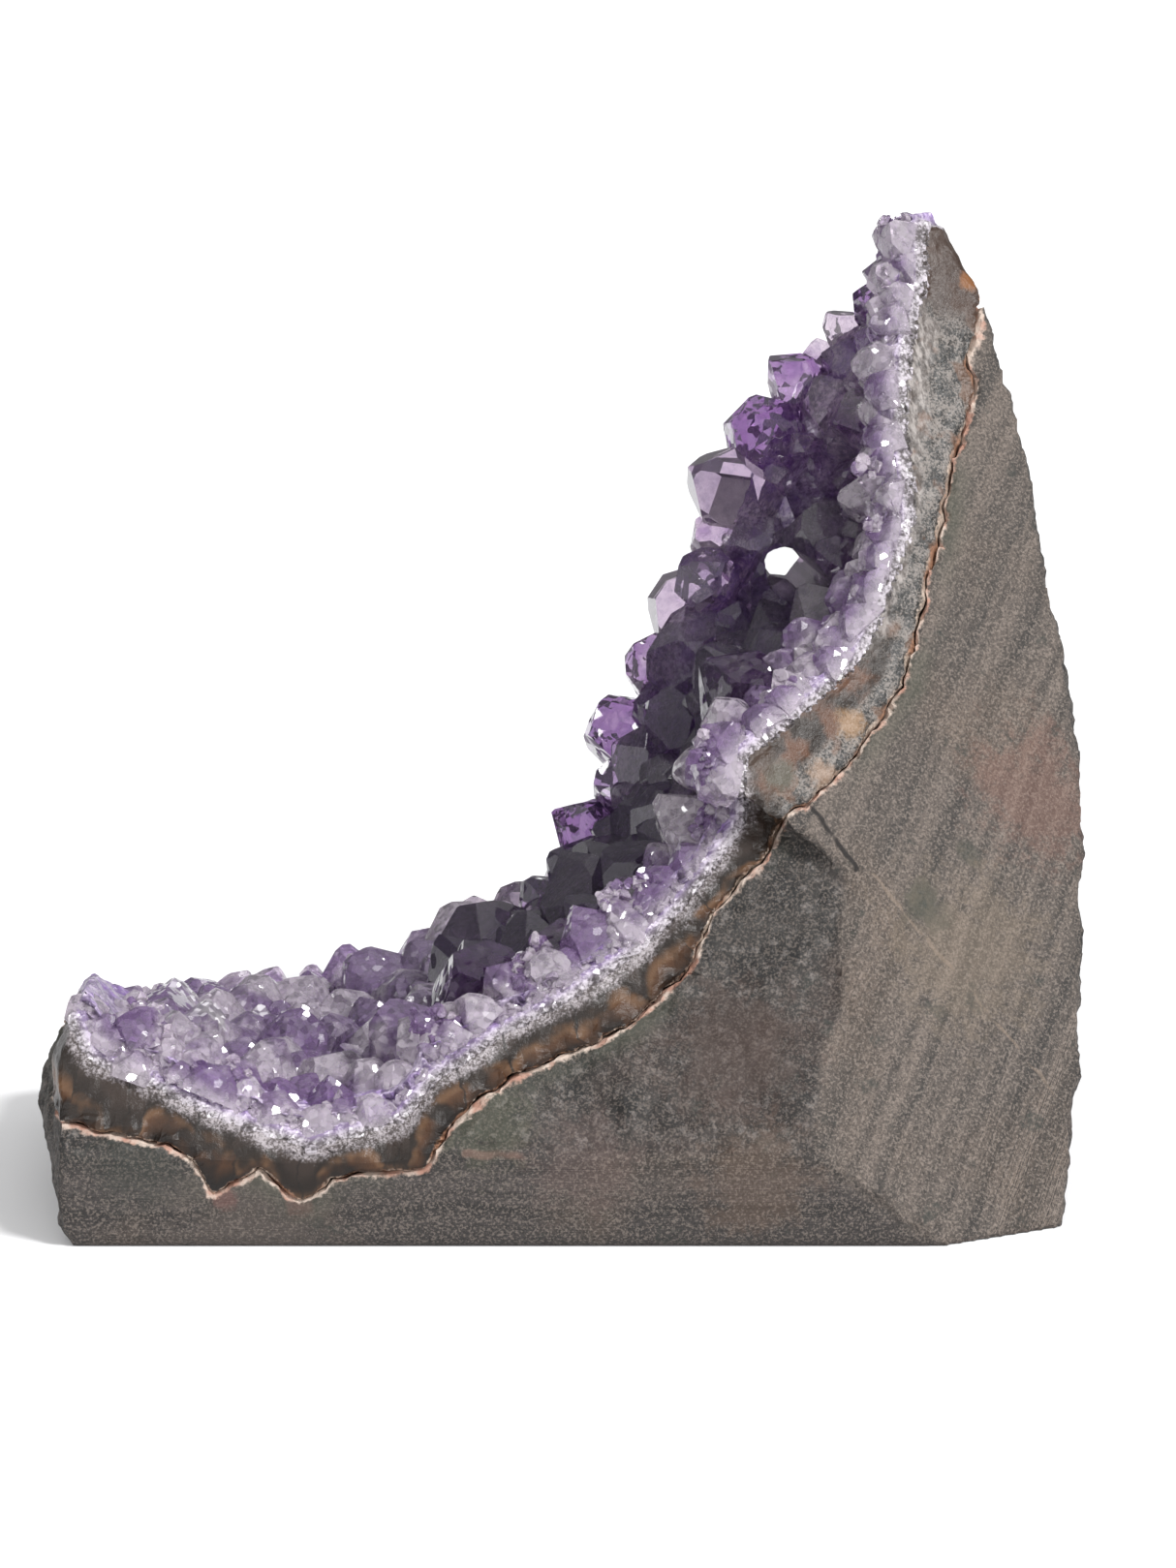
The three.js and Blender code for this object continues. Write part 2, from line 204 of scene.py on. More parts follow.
def tree_of(node):
    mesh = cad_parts[node].data
    mesh.calc_loop_triangles()
    faces = [tuple(t.vertices) for t in mesh.loop_triangles]
    return BVHTree.FromPolygons([v.co for v in mesh.vertices], faces)


def tree_of_points(points):
    tree = KDTree(len(points))
    for i, point in enumerate(points):
        tree.insert(Vector(point), i)
    tree.balance()
    return tree


def distances(points, tree):
    return np.array([tree.find_nearest(Vector(p))[3] for p in points])


def turn_of(points):
    """Angle round the hollow's axis in degrees, -90 straight down."""
    points = np.atleast_2d(points)
    return np.degrees(np.arctan2(points[:, 2] - HOLLOW_Z, points[:, 0] - HOLLOW_X))


# Flat faces of the solids
def flat_faces(node, smallest):
    """Each plane that holds much of a node's surface, as (area, normal, offset)."""
    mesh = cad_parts[node].data
    mesh.calc_loop_triangles()
    found = {}
    for t in mesh.loop_triangles:
        a, b, c = (mesh.vertices[i].co for i in t.vertices)
        normal = (b - a).cross(c - a)
        if normal.length < 1e-12:
            continue
        area = normal.length / 2
        normal.normalize()
        key = tuple(round(n, 2) for n in normal) + (round(normal.dot(a) / MM),)
        entry = found.setdefault(key, [0.0, Vector(), 0.0])
        entry[0] += area
        entry[1] += normal * area
        entry[2] += normal.dot(a) * area
    planes = [(e[0], e[1].normalized(), e[2] / e[0]) for e in found.values()]
    return sorted((p for p in planes if p[0] > smallest), key=lambda p: -p[0])


def plane_of(planes, direction):
    return max(planes, key=lambda p: p[1].dot(Vector(direction).normalized()))[1:]


stone_planes = flat_faces("basalt_matrix", 300 * MM * MM)
UNDERSIDE = plane_of(stone_planes, (0, 0, -1))
BACK_SAWN = plane_of(stone_planes, (0, 1, 0))
FRONT_SAWN = plane_of(stone_planes, (0, -1, -0.1))
SIDE_SAWN = plane_of(stone_planes, (0.5, -1, 0.555))
LIP = plane_of(flat_faces("agate_lining", 50 * MM * MM), (0, -0.835, 0.55))
LIP_TURN = -43.0  # below this angle round the hollow the front rim ends on the lip's own plane
SAWN = [UNDERSIDE, BACK_SAWN, FRONT_SAWN, SIDE_SAWN]
CUT_FACES = [SIDE_SAWN, FRONT_SAWN, LIP]

agate_tree = tree_of("agate_lining")
rock_tree = tree_of("basalt_matrix")
crust_tree = tree_of("amethyst_crust")


def rim_lines():
    """Front and back edge of the agate at every angle round the hollow."""
    a, b, c = corners_of(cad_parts["agate_lining"].data)
    shares = [(i / 8, j / 8) for i in range(9) for j in range(9 - i)]
    points = np.concatenate([a * (1 - u - v) + b * u + c * v for u, v in shares])
    turns = turn_of(points)
    angles = np.arange(turns.min() + 1, turns.max() - 1, 3.0)
    front, back = [], []
    for angle in angles:
        y = points[np.abs(turns - angle) < 2.5, 1]
        front.append(y.min())
        back.append(y.max())
    return angles, np.array(front), np.array(back)


RIM_ANGLES, RIM_FRONT, RIM_BACK = rim_lines()


def behind_rim(points):
    points = np.atleast_2d(points)
    return points[:, 1] - np.interp(turn_of(points), RIM_ANGLES, RIM_FRONT)


def before_back(points):
    points = np.atleast_2d(points)
    return np.interp(turn_of(points), RIM_ANGLES, RIM_BACK) - points[:, 1]


# Basalt
def sharp_edge_points(node, step):
    mesh = bmesh.new()
    mesh.from_mesh(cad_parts[node].data)
    bmesh.ops.remove_doubles(mesh, verts=mesh.verts, dist=0.001 * MM)
    found = []
    for edge in mesh.edges:
        if len(edge.link_faces) == 2 and edge.calc_face_angle(0) > math.radians(25):
            a, b = (v.co.copy() for v in edge.verts)
            count = max(1, int((b - a).length / step))
            found += [a.lerp(b, i / count) for i in range(count + 1)]
    mesh.free()
    return found


def wander(points, away):
    """Moves basalt and agate together near their joint, along the sawn faces only, so the rind wanders."""
    weight = 1 - smoothstep(away, 0.9 * MM, 4.0 * MM)
    moved = points.copy()
    for i in np.flatnonzero(weight > 0):
        p = Vector(points[i])
        shift = noise.noise_vector(p / (3.4 * MM)) * 0.85 * MM
        shift += noise.noise_vector(p / (1.5 * MM)) * 0.4 * MM
        shift *= float(weight[i])
        for normal, offset in SAWN:
            off = abs(p.dot(normal) - offset)
            if off < 1.5 * MM:
                shift -= normal * shift.dot(normal) * (1 - max(0.0, off / MM - 0.3) / 1.2)
        moved[i] += np.array(shift)
    return moved


# Each sawn face with the direction that its blade marks run in
BLADE = (
    (SIDE_SAWN, (-0.364, -0.585, -0.725)), (FRONT_SAWN, (1, 0, 0.012)),
    (BACK_SAWN, (0.82, 0, 0.57)), (UNDERSIDE, (0.9, 0.43, 0)),
)


def across_marks(points):
    """Distance across the blade marks, in mm, on whichever sawn face is nearest."""
    off = np.array([np.abs(past(points, face)) for face, _ in BLADE])
    over = [face[0].cross(Vector(marks)).normalized() for face, marks in BLADE]
    across = np.array([points @ np.array(direction) / MM for direction in over])
    return across[off.argmin(axis=0), np.arange(len(points))]


def build_basalt():
    piece = copy_of_node("basalt_matrix", "basalt")
    mesh, points, normals = remeshed(piece, BASALT_VOXEL)
    off_plane = np.min([np.abs(past(points, plane)) for plane in SAWN], axis=0)
    sawn = 1 - smoothstep(off_plane, 0.25 * MM, 0.7 * MM)
    at_agate = distances(points, agate_tree)
    edges = tree_of_points(sharp_edge_points("basalt_matrix", 1.0 * MM))
    edge = np.array([edges.find(Vector(p))[2] for p in points])
    base = smoothstep(points[:, 2], 0.5 * MM, 2.5 * MM)
    inside = 1 - smoothstep(at_agate, 0.5 * MM, 1.6 * MM)
    chips = np.maximum(0, noise_at(points, 3.2 * MM, 6) + 0.12) * 1.2
    chips = chips * (1 - smoothstep(edge, 0.2 * MM, 1.8 * MM))
    uneven = (1 - sawn) * relief(points, TORN_RELIEF) + sawn * relief(points, SAWN_RELIEF)
    shift = (uneven - chips) * (1 - inside) * MM * base
    store(mesh, "sawn", sawn)
    store(mesh, "across", across_marks(points))
    store(mesh, "from_agate", at_agate / MM)
    store(mesh, "side_face", 1 - smoothstep(np.abs(past(points, SIDE_SAWN)), 0.3 * MM, 0.9 * MM))
    points = wander(points + normals * shift[:, None], at_agate)
    points[:, 2] = np.maximum(points[:, 2], 0)
    move_points(mesh, points)
    return piece


def inside_block(points):
    """Brings points that passed a sawn face back to it."""
    for plane in SAWN:
        points -= np.maximum(0, past(points, plane))[:, None] * np.array(plane[0])


def fill_to_cut(points, normals, at_joint):
    """Brings the rounded edges of a joint forward to the cut faces."""
    turns = turn_of(points)
    for plane in CUT_FACES:
        short = -past(points, plane)
        moves = at_joint & (short > 0) & (short < 1.3 * MM) & (normals @ np.array(plane[0]) > 0.15)
        if plane is LIP:
            moves &= turns < LIP_TURN - 2
        points += (moves * np.minimum(short, 0.6 * MM))[:, None] * np.array(plane[0])


# Agate
def length_along(points):
    """Distance along the agate band in mm, measured round the hollow through the band's middle."""
    own = points_of(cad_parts["agate_lining"].data)
    turns, angles = turn_of(own), RIM_ANGLES
    radii = np.hypot(own[:, 0] - HOLLOW_X, own[:, 2] - HOLLOW_Z) / MM
    middle = np.array([radii[np.argsort(np.abs(turns - a))[:12]].mean() for a in angles])
    x, z = middle * np.cos(np.radians(angles)), middle * np.sin(np.radians(angles))
    length = np.concatenate([[0], np.cumsum(np.hypot(np.diff(x), np.diff(z)))])
    return np.interp(turn_of(points), angles, length)


def build_agate():
    piece = copy_of_node("agate_lining", "agate_band")
    mesh, points, normals = remeshed(piece, AGATE_VOXEL)
    from_rock = distances(points, rock_tree)
    from_crust = distances(points, crust_tree)
    store(mesh, "from_rock", from_rock / MM)
    store(mesh, "from_crust", from_crust / MM)
    store(mesh, "turn", turn_of(points))
    store(mesh, "along", length_along(points))
    free = smoothstep(np.minimum(from_rock, from_crust), 0.6 * MM, 1.4 * MM)
    points = points + normals * (relief(points, AGATE_RELIEF) * free * MM)[:, None]
    points = points + normals * (0.3 * MM * (1 - smoothstep(from_crust, 0.4 * MM, 0.9 * MM)))[:, None]
    fill_to_cut(points, normals, from_crust < 1.2 * MM)
    inside_block(points)
    move_points(mesh, wander(points, from_rock))
    return piece


# Milky quartz under the crystals
def build_bed():
    piece = copy_of_node("amethyst_crust", "milky_quartz")
    mesh, points, _ = remeshed(piece, BED_VOXEL)
    limit = BED + relief(points, BED_RELIEF) * MM
    for i, p in enumerate(points):
        place, _, _, away = agate_tree.find_nearest(Vector(p))
        if away > limit[i]:
            points[i] = np.array(place) + (p - np.array(place)) * (limit[i] / away)
    move_points(mesh, points)
    mesh, points, normals = remeshed(piece, BED_VOXEL)
    from_agate = distances(points, agate_tree)
    grains = relief(points, BED_GRAINS) * smoothstep(from_agate, 0.7 * MM, 1.5 * MM)
    points = points + normals * (grains * MM)[:, None]
    points = points + normals * (0.85 * MM * (1 - smoothstep(from_agate, 0.5 * MM, 1.5 * MM)))[:, None]
    for plane in CUT_FACES:
        on_face = (normals @ np.array(plane[0]) > 0.8) & (np.abs(past(points, plane)) < 2 * MM)
        sink = 2.2 * MM * smoothstep(from_agate, 1.6 * MM, 4.0 * MM) * on_face
        points = points - sink[:, None] * np.array(plane[0])
    fill_to_cut(points, normals, from_agate < 1.5 * MM)
    inside_block(points)
    move_points(mesh, points)
    store(mesh, "from_agate", from_agate / MM)
    store(mesh, "depth", depth_in_hollow(points))
    return piece


# Crystals
def cut_off(place, normal):
    """Cuts the mesh in edit mode by a plane, and closes the cut."""
    bpy.ops.mesh.select_all(action="SELECT")
    bpy.ops.mesh.bisect(plane_co=place, plane_no=normal, use_fill=True, clear_outer=True)


def any_direction(draw):
    return Vector([draw.gauss(0, 1) for _ in range(3)]).normalized()


def crystal_template(number, chips):
    """A six-sided prism 1 wide with its point at the origin, ended by six sloping faces and worn by chips."""
    draw = random.Random(SEED * 100 + number)
    deselect()
    bpy.ops.mesh.primitive_cylinder_add(vertices=6, radius=1 / math.sqrt(3), depth=3, location=(0, 0, -1))
    crystal = bpy.context.object
    sides = [f.normal.copy() for f in crystal.data.polygons if abs(f.normal.z) < 0.1]
    sides.sort(key=lambda n: math.atan2(n.y, n.x))
    bpy.ops.object.transform_apply(location=True)
    bpy.ops.object.mode_set(mode="EDIT")
    for i, side in enumerate(sides):
        higher = draw.uniform(-0.03, 0.06) if i % 2 == 0 else draw.uniform(0.02, 0.34)
        normal = side * math.cos(END_FACE) + Vector((0, 0, math.sin(END_FACE)))
        cut_off((0, 0, higher), normal)
    for _ in range(chips):
        lean = draw.uniform(math.radians(14), math.radians(74))
        round_axis = draw.uniform(0, math.tau)
        flat = math.sin(lean)
        normal = Vector((flat * math.cos(round_axis), flat * math.sin(round_axis), math.cos(lean)))
        crystal.update_from_editmode()
        reach = max(normal.dot(v.co) for v in crystal.data.vertices)
        cut_off(normal * (reach - draw.uniform(0.02, 0.11)), normal)
    bpy.ops.mesh.select_all(action="SELECT")
    bpy.ops.mesh.normals_make_consistent(inside=False)
    bpy.ops.object.mode_set(mode="OBJECT")
    mesh = crystal.data
    bpy.data.objects.remove(crystal)
    return mesh


def shard_template(number):
    """A small broken chip: a ball of a few flat faces."""
    draw = random.Random(SEED * 300 + number)
    deselect()
    bpy.ops.mesh.primitive_ico_sphere_add(subdivisions=2, radius=0.5)
    shard = bpy.context.object
    bpy.ops.object.mode_set(mode="EDIT")
    for _ in range(9):
        normal = any_direction(draw)
        cut_off(normal * draw.uniform(0.2, 0.36), normal)
    bpy.ops.object.mode_set(mode="OBJECT")
    mesh = shard.data
    bpy.data.objects.remove(shard)
    return mesh


def cut_away(mesh, planes):
    """Cuts a convex mesh by planes, and closes each cut. Returns None where nothing is left."""
    shape = bmesh.new()
    shape.from_mesh(mesh)
    for normal, offset in planes:
        if max(normal.dot(v.co) for v in shape.verts) < offset:
            continue
        whole = shape.verts[:] + shape.edges[:] + shape.faces[:]
        cut = bmesh.ops.bisect_plane(
            shape, geom=whole, plane_co=normal * offset, plane_no=normal, clear_outer=True
        )
        edges = [g for g in cut["geom_cut"] if isinstance(g, bmesh.types.BMEdge)]
        if len(shape.faces) < 3 or len(edges) < 3:
            shape.free()
            return None
        bmesh.ops.edgenet_fill(shape, edges=edges)
    bmesh.ops.recalc_face_normals(shape, faces=shape.faces)
    closed = all(e.is_manifold for e in shape.edges) and len(shape.faces) > 3
    if closed:
        shape.to_mesh(mesh)
    shape.free()
    return mesh if closed else None


def hollow_samples(bed, count):
    """Points spread over the bed's inner side, each with the direction away from the agate."""
    a, b, c = corners_of(bed.data)
    areas = np.linalg.norm(np.cross(b - a, c - a), axis=1) / 2
    middles = (a + b + c) / 3
    deep = distances(middles, agate_tree) > 0.62 * BED
    for plane, inset in ((FRONT_SAWN, 0.5 * MM), (SIDE_SAWN, 0.5 * MM), (BACK_SAWN, 0.4 * MM)):
        deep &= past(middles, plane) < -inset
    deep &= (past(middles, LIP) < -1.5 * MM) | (turn_of(middles) > LIP_TURN)
    chosen = np.flatnonzero(deep)
    weights = areas[chosen] / areas[chosen].sum()
    draw = np.random.default_rng(SEED)
    picked = middles[draw.choice(chosen, count, p=weights)]
    away = np.array([(Vector(p) - agate_tree.find_nearest(Vector(p))[0]).normalized() for p in picked])
    tree = tree_of_points(picked)
    smooth = []
    for p in picked:
        near = [i for _, i, _ in tree.find_range(Vector(p), 7 * MM)]
        smooth.append(Vector(away[near].mean(axis=0)).normalized())
    return picked, smooth


def usual_width(turn, behind):
    """Crystal width in mm by place: small at the front rim, at the left end and at the peak."""
    width = 11.4 - 2.6 * smoothstep(-turn, 72, 90) - 3.0 * smoothstep(-turn, 97, 104)
    width = width - 5.6 * smoothstep(turn, -18, 5)
    rim = 1 - smoothstep(behind, 8, 22)
    on_wall = smoothstep(turn, -50, -38)
    return width * (1 - rim) + np.minimum(width, 6.6 + 0.9 * on_wall) * rim


def usual_height(turn, behind):
    """How far a tip stands out of the milky quartz, as a share of the crystal's width."""
    share = 0.86 - 0.2 * smoothstep(-turn, 70, 90) - 0.2 * smoothstep(-turn, 96, 104)
    return share * (0.62 + 0.38 * smoothstep(behind, 3, 14))


def depth_in_hollow(points):
    """1 on the hollow's dark wall, 0 at its rims, on its left floor and at its peak; the materials darken by
    it as painted shade.
    """
    turn = turn_of(points)
    depth = smoothstep(behind_rim(points) / MM, 17, 27) * smoothstep(before_back(points) / MM, 3, 16)
    return depth * smoothstep(-turn, 6, 24) * (1 - 0.75 * smoothstep(-turn, 74, 90))


def plant_crystals(bed):
    """Chooses crystals one by one, large ones first, each clear of those already there."""
    picked, away = hollow_samples(bed, PLACES)
    turns = turn_of(picked)
    behind = behind_rim(picked) / MM
    to_back = before_back(picked) / MM
    usual = usual_width(turns, behind)
    stand = usual_height(turns, behind)
    planted, cells = [], {}
    beside = [(x, y, z) for x in (-1, 0, 1) for y in (-1, 0, 1) for z in (-1, 0, 1)]
    top = cad_box[1][2] - 1.0 * MM
    for i, place in enumerate(picked):
        filler = i > FILLERS * len(picked)
        steep_rim = behind[i] < RIM_ZONE and turns[i] > WALL
        share = 0.46 if filler else 1.12 - 0.36 * (i / (FILLERS * len(picked))) ** 0.6
        width = float(usual[i]) * MM * share * rng.uniform(0.82, 1.18)
        if steep_rim:
            width = min(width, RIM_WIDEST)
        foot = Vector(place)
        if filler:
            foot += away[i] * width * 0.25
        if foot.z + width * 0.5 > top or turns[i] < LEFT_END_TURN or behind[i] < 2.5:
            continue
        spacing = 0.8 if filler else 0.76 if behind[i] > 9 else 0.68
        key = tuple(int(v // CELL) for v in place)
        near = [o for x, y, z in beside for o in cells.get((key[0] + x, key[1] + y, key[2] + z), ())]
        if any((foot - o["foot"]).length < spacing * (width + o["width"]) / 2 for o in near):
            continue
        axis = (away[i] + any_direction(rng) * rng.uniform(0.0, 0.5)).normalized()
        if behind[i] < 8:
            axis = (axis + Vector((0, -0.35 * (1 - behind[i] / 8), 0))).normalized()
        height = width * float(stand[i]) * rng.uniform(0.7, 1.12)
        if to_back[i] < 11 and -62 < turns[i] < -12:
            height *= 1.25
        elif steep_rim:
            height *= 1.3
        if (foot + axis * height).z > top:
            continue
        crystal = {
            "foot": foot, "axis": axis, "width": width, "turn": float(turns[i]),
            "behind": float(behind[i]), "height": height, "tint": rng.random(),
        }
        planted.append(crystal)
        cells.setdefault(key, []).append(crystal)
    return planted


def block_planes(turn):
    """The planes that end a crystal: just outside the front cuts, and just inside the back and the left."""
    left = (Vector((-1, 0, 0)), -cad_box[0][0])
    planes = [(normal, offset + RIM_SLACK) for normal, offset in (SIDE_SAWN, FRONT_SAWN)]
    planes += [(normal, offset - BACK_INSET) for normal, offset in (BACK_SAWN, left)]
    if turn < LIP_TURN:
        planes.append((LIP[0], LIP[1] + RIM_SLACK))
    return planes


def crystal_mesh(crystal, templates):
    """One crystal's own mesh at its place, its root shortened to end inside the milky quartz."""
    mesh = templates[rng.randrange(len(templates))].copy()
    width, height = crystal["width"], crystal["height"]
    root = (height + (2.2 if crystal["turn"] > -95 else 1.2) * MM) / width
    lowest = min(v.co.z for v in mesh.vertices)
    for v in mesh.vertices:
        if v.co.z < lowest + 1e-4:
            v.co.z = -max(root, 0.8)
    turn = Matrix.Rotation(rng.uniform(0, math.tau), 4, "Z")
    stretch = Matrix.Diagonal((rng.uniform(0.86, 1.14), rng.uniform(0.86, 1.14), 1, 1))
    up = crystal["axis"].to_track_quat("Z", "Y").to_matrix().to_4x4()
    tip = crystal["foot"] + crystal["axis"] * height
    mesh.transform(Matrix.Translation(tip) @ up @ stretch @ turn @ Matrix.Scale(width, 4))
    return cut_away(mesh, block_planes(crystal["turn"]))


def joined(tinted, name):
    """One solid of many overlapping closed meshes, each keeping its own tint."""
    collection = bpy.data.collections.new(name)
    bpy.context.scene.collection.children.link(collection)
    objects = []
    for mesh, tint in tinted:
        attribute = mesh.attributes.new("tint", "FLOAT", "FACE")
        attribute.data.foreach_set("value", [tint] * len(mesh.polygons))
        objects.append(bpy.data.objects.new(name, mesh))
    piece = objects.pop()
    bpy.context.scene.collection.objects.link(piece)
    for obj in objects:
        collection.objects.link(obj)
    finish_modifier(
        piece, "BOOLEAN", operation="UNION", solver="MANIFOLD",
        operand_type="COLLECTION", collection=collection,
    )
    for obj in objects:
        bpy.data.objects.remove(obj)
    bpy.data.collections.remove(collection)
    piece.name = piece.data.name = name
    return piece


def bright_crystal(template):
    """The crystal on the dark wall with one end face turned to the light."""
    mesh = template.copy()
    face = max((f for f in mesh.polygons if 0.5 < f.normal.z < 0.75), key=lambda f: f.area).normal.copy()

    def directions(first, second):
        second = (second - first * second.dot(first)).normalized()
        return Matrix((first, second, first.cross(second))).transposed()

    turn = directions(BRIGHT_FACING, BRIGHT_AWAY) @ directions(face, Vector((0, 0, 1))).transposed()
    mesh.transform(Matrix.Translation(BRIGHT_TIP) @ turn.to_4x4() @ Matrix.Scale(BRIGHT_WIDTH, 4))
    return mesh


def build_crystals(planted):
    clear = [crystal_template(i, 7) for i in range(TEMPLATES)]
    worn = [crystal_template(TEMPLATES + i, 15) for i in range(TEMPLATES)]
    rim, inner = [], []
    for crystal in planted:
        on_rim = crystal["behind"] < RIM_ZONE or crystal["turn"] < LEFT_FLOOR
        mesh = crystal_mesh(crystal, worn if on_rim else clear)
        if mesh is not None:
            (rim if on_rim else inner).append((mesh, crystal["tint"]))
    inner.append((bright_crystal(clear[2]), 0.0))
    rim += [(chip, rng.random()) for chip in shards()]
    points, rim_piece = joined(inner, "amethyst_points"), joined(rim, "rim_quartz")
    for piece in (points, rim_piece):
        places = points_of(piece.data)
        store(piece.data, "from_agate", distances(places, agate_tree) / MM)
        store(piece.data, "depth", depth_in_hollow(places))
    return points, rim_piece


# The cut rim
def cut_face_samples(count, seed):
    """Points over the crust's cut face, each with the way out, the way off the agate and its distance."""
    a, b, c = corners_of(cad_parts["amethyst_crust"].data)
    middles = (a + b + c) / 3
    cross = np.cross(b - a, c - a)
    areas = np.linalg.norm(cross, axis=1) / 2
    on_rim = np.zeros(len(middles), bool)
    for plane, slack in ((SIDE_SAWN, 0.3 * MM), (FRONT_SAWN, 0.3 * MM), (LIP, 1.6 * MM)):
        facing = cross @ np.array(plane[0]) > 0.9 * np.linalg.norm(cross, axis=1)
        on_rim |= facing & (np.abs(past(middles, plane)) < slack)
    chosen = np.flatnonzero(on_rim)
    draw = np.random.default_rng(seed)
    samples = []
    while len(samples) < count:
        k = draw.choice(chosen, p=areas[chosen] / areas[chosen].sum())
        u, v = draw.random(2)
        if u + v > 1:
            u, v = 1 - u, 1 - v
        place = Vector(a[k] + (b[k] - a[k]) * u + (c[k] - a[k]) * v)
        near, _, _, distance = agate_tree.find_nearest(place)
        if distance > 1.8 * MM:
            samples.append((place, Vector(cross[k]).normalized(), (place - near).normalized(), distance))
    return samples


def plant_rim():
    """Chipped crystals rooted in the milky quartz that end about level with the cut face."""
    planted = []
    samples = cut_face_samples(RIM_PLACES, SEED + 2)
    for i, (place, outward, off_agate, distance) in enumerate(samples):
        width = 4.8 * MM + 1.9 * MM * float(smoothstep(distance, 3 * MM, 8 * MM))
        width *= (1.15 - 0.6 * i / len(samples)) * rng.uniform(0.85, 1.15)
        if any((place - other["place"]).length < 0.66 * (width + other["width"]) / 2 for other in planted):
            continue
        tip = place + outward * rng.uniform(-0.5, 0.7) * MM
        foot = place - off_agate * max(0.0, distance - 3.4 * MM) - outward * 2.8 * MM
        axis = ((tip - foot).normalized() + any_direction(rng) * rng.uniform(0, 0.35)).normalized()
        planted.append({
            "place": place, "foot": foot, "axis": axis, "width": width, "turn": float(turn_of(place)[0]),
            "behind": 0.0, "height": (tip - foot).length, "tint": rng.random(),
        })
    return planted


def shards():
    """Small broken chips between the rim's crystals."""
    templates = [shard_template(i) for i in range(10)]
    draw = np.random.default_rng(SEED + 1)
    made = []
    for place, outward, _, distance in cut_face_samples(SHARDS, SEED + 1):
        size = draw.uniform(1.3, 3.0) * MM
        chip = templates[draw.integers(len(templates))].copy()
        spin = Vector(draw.normal(size=3)).normalized().rotation_difference(Vector((0, 0, 1)))
        below = size * draw.uniform(0.2, 0.5) + 0.9 * MM * float(smoothstep(distance, 2 * MM, 4 * MM))
        place = place - outward * below
        chip.transform(Matrix.Translation(place) @ spin.to_matrix().to_4x4() @ Matrix.Scale(size, 4))
        made.append(chip)
    return made


# Shader tools
def material(name):
    made = bpy.data.materials.new(name)
    made.use_nodes = True
    made.node_tree.nodes.clear()
    output = made.node_tree.nodes.new("ShaderNodeOutputMaterial")
    return made, made.node_tree, output


class Value:
    """A number or colour that changes over the surface: one output of a node, with plain arithmetic."""

    def __init__(self, socket):
        self.socket = socket
        self.tree = socket.id_data

    def __add__(self, other):
        return calc(self.tree, "ADD", self, other)

    def __radd__(self, other):
        return calc(self.tree, "ADD", other, self)

    def __sub__(self, other):
        return calc(self.tree, "SUBTRACT", self, other)

    def __rsub__(self, other):
        return calc(self.tree, "SUBTRACT", other, self)

    def __mul__(self, other):
        return calc(self.tree, "MULTIPLY", self, other)

    def __truediv__(self, other):
        return calc(self.tree, "DIVIDE", self, other)

    def __rtruediv__(self, other):
        return calc(self.tree, "DIVIDE", other, self)


def feed(socket, value):
    """Links a node's input to a Value or an output, or sets it to a constant."""
    if isinstance(value, Value):
        value = value.socket
    if isinstance(value, bpy.types.NodeSocket):
        socket.id_data.links.new(value, socket)
    else:
        socket.default_value = value


def add(tree, kind, settings=None, **inputs):
    """A node with its inputs given by name, with _ for a space."""
    node = tree.nodes.new("ShaderNode" + kind)
    for name, value in (settings or {}).items():
        setattr(node, name, value)
    for name, value in inputs.items():
        feed(node.inputs[name.replace("_", " ")], value)
    return node


def calc(tree, operation, *values, kind="Math", output="Value"):
    node = add(tree, kind, {"operation": operation})
    for socket, value in zip(node.inputs, values):
        feed(socket, value)
    return Value(node.outputs[output])


def vector(tree, operation, *values):
    output = "Value" if operation in ("DOT_PRODUCT", "DISTANCE") else "Vector"
    return calc(tree, operation, *values, kind="VectorMath", output=output)


def scaled(tree, direction, factor):
    node = add(tree, "VectorMath", {"operation": "SCALE"}, Vector=direction, Scale=factor)
    return Value(node.outputs["Vector"])


def values(sockets):
    return {socket.name: Value(socket) for socket in sockets if socket.name}


def step(value, low, high):
    """0 below low, 1 above high, smooth between."""
    settings = {"interpolation_type": "SMOOTHSTEP"}
    node = add(value.tree, "MapRange", settings, Value=value, From_Min=low, From_Max=high)
    return Value(node.outputs["Result"])


def colour(red, green, blue):
    """Linear colour of an sRGB one, each channel 0 to 255."""
    def linear(value):
        value /= 255
        return value / 12.92 if value <= 0.04045 else ((value + 0.055) / 1.055) ** 2.4
    return (linear(red), linear(green), linear(blue), 1)


def blend(share, first, second):
    """The first colour where share is 0, the second where it is 1. Fixed ones are sRGB, 0 to 255."""
    node = add(share.tree, "Mix", {"data_type": "RGBA"})
    feed(node.inputs[0], share)
    for place, tone in ((6, first), (7, second)):
        feed(node.inputs[place], tone if isinstance(tone, Value) else colour(*tone))
    return Value(node.outputs[2])


def object_place(tree):
    return tree.nodes.new("ShaderNodeTexCoord").outputs["Object"]


def place_in(tree, scale=(1, 1, 1), turned=(0, 0, 0)):
    return Value(add(tree, "Mapping", Vector=object_place(tree), Scale=scale, Rotation=turned).outputs[0])


def noise_in(tree, size, detail=3.0, rough=0.55, place=None):
    place = place or place_in(tree)
    node = add(tree, "TexNoise", Vector=place, Scale=1 / size, Detail=detail, Roughness=rough)
    return Value(node.outputs["Fac"])


def line_noise(tree, value, size, detail=2.0):
    node = add(tree, "TexNoise", {"noise_dimensions": "1D"}, W=value / size, Detail=detail)
    return Value(node.outputs["Fac"])


def attribute(tree, name):
    return Value(add(tree, "Attribute", {"attribute_name": name}).outputs["Fac"])


